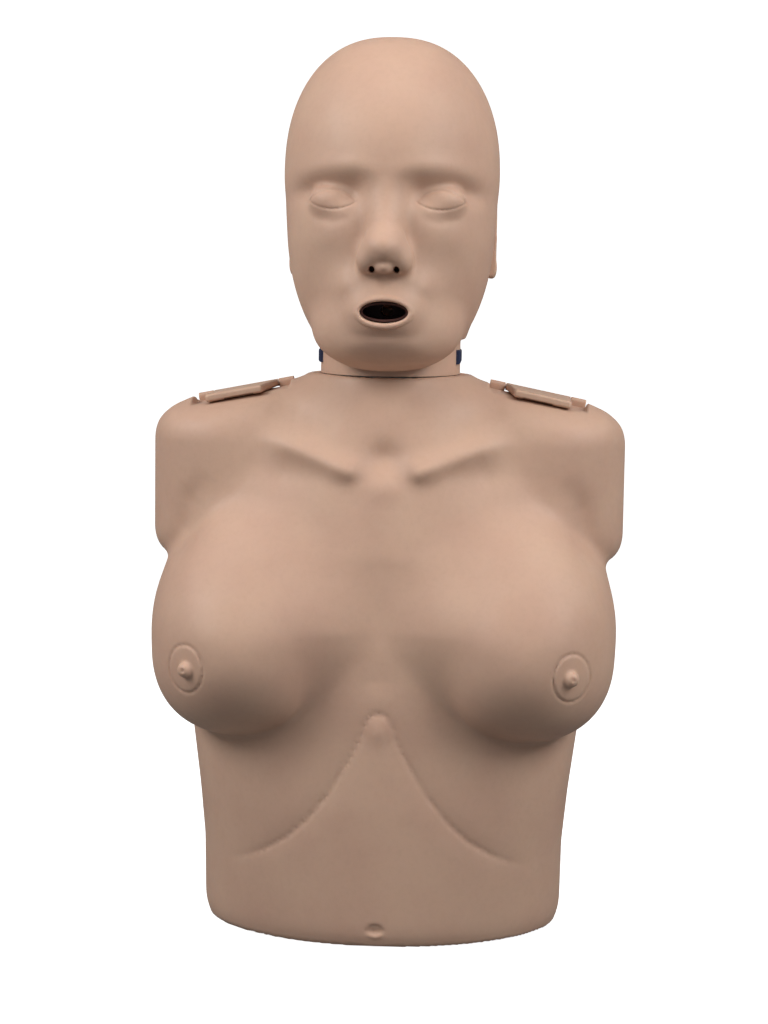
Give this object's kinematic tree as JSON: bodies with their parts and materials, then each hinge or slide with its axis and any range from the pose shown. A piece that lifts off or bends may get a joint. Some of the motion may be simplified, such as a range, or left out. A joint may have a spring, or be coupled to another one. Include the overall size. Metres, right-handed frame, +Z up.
{
  "type": "first aid training manikin",
  "caption": "Adult torso and head for practising chest compressions and rescue breaths, with a sprung chest, a lift-off chest skin, and a head that turns and tilts back.",
  "frame": {"origin": "on the floor, under the middle of the torso, on the flat underside it stands on", "axes": "+Z up to the crown, +Y to the manikin's back, +X to its left"},
  "size_m": [0.349, 0.2136, 0.65],
  "materials": {
    "vinyl": "matt flesh-coloured vinyl",
    "vinyl_hard": "matt moulded plastic, the colour of the skin",
    "mouth_vinyl": "soft, slightly satin",
    "works_plastic": "moulded, fine texture",
    "plate_plastic": "moulded, fine texture",
    "pivot_plastic": "moulded, satin",
    "bag_film": "thin milky film",
    "foam": "open foam",
    "steel": "zinc plated"
  },
  "bodies": {
    "base": {"back_shell": "vinyl", "base_floor": "works_plastic", "plunger_guide": "works_plastic", "guide_screws": "steel", "compression_spring": "steel", "neck_socket": "works_plastic", "latch_pin_left": "steel", "latch_pin_right": "steel"},
    "chest": {"chest_plate": "plate_plastic", "plunger": "works_plastic", "plunger_screws": "steel", "lung_bag": "bag_film"},
    "skin": {"torso_skin": "vinyl", "latch_keeper_left": "steel", "latch_keeper_right": "steel", "chest_pad": "foam"},
    "left_latch": {"latch_left": "vinyl_hard"},
    "right_latch": {"latch_right": "vinyl_hard"},
    "neck": {"neck_tube": "vinyl", "neck_snap_ring": "works_plastic", "pivot_block_left": "pivot_plastic", "pivot_block_right": "pivot_plastic"},
    "head": {"face_shell": "vinyl", "head_back_shell": "vinyl", "mouth_insert": "mouth_vinyl", "head_frame": "works_plastic", "tilt_pin_left": "steel", "tilt_pin_right": "steel", "head_screws": "steel"}
  },
  "joints": [
    {"name": "neck_turn", "type": "hinge", "parent": "base", "child": "neck", "pos_m": [0, 0.02, 0.4], "axis": [0, 0, 1], "range_deg": [-45, 45]},
    {"name": "head_tilt", "type": "hinge", "parent": "neck", "child": "head", "pos_m": [0, 0.02, 0.421], "axis": [-1, 0, 0], "range_deg": [0, 30]},
    {"name": "chest_compression", "type": "slide", "parent": "base", "child": "chest", "axis": [0, 1, 0], "range_m": [0, 0.05], "stiffness_N_per_m": 9800, "deforming": ["compression_spring"]},
    {"name": "skin_lift_off", "type": "slide", "parent": "base", "child": "skin", "axis": [0, -1, 0], "range_m": [0, 0.22]},
    {"name": "latch_left_swing", "type": "hinge", "parent": "base", "child": "left_latch", "pos_m": [0.10955, 0.044, 0.39315], "axis": [-0.9806, 0, 0.1959], "range_deg": [0, 95]},
    {"name": "latch_right_swing", "type": "hinge", "parent": "base", "child": "right_latch", "pos_m": [-0.10955, 0.044, 0.39315], "axis": [-0.9806, 0, -0.1959], "range_deg": [0, 95]}
  ]
}
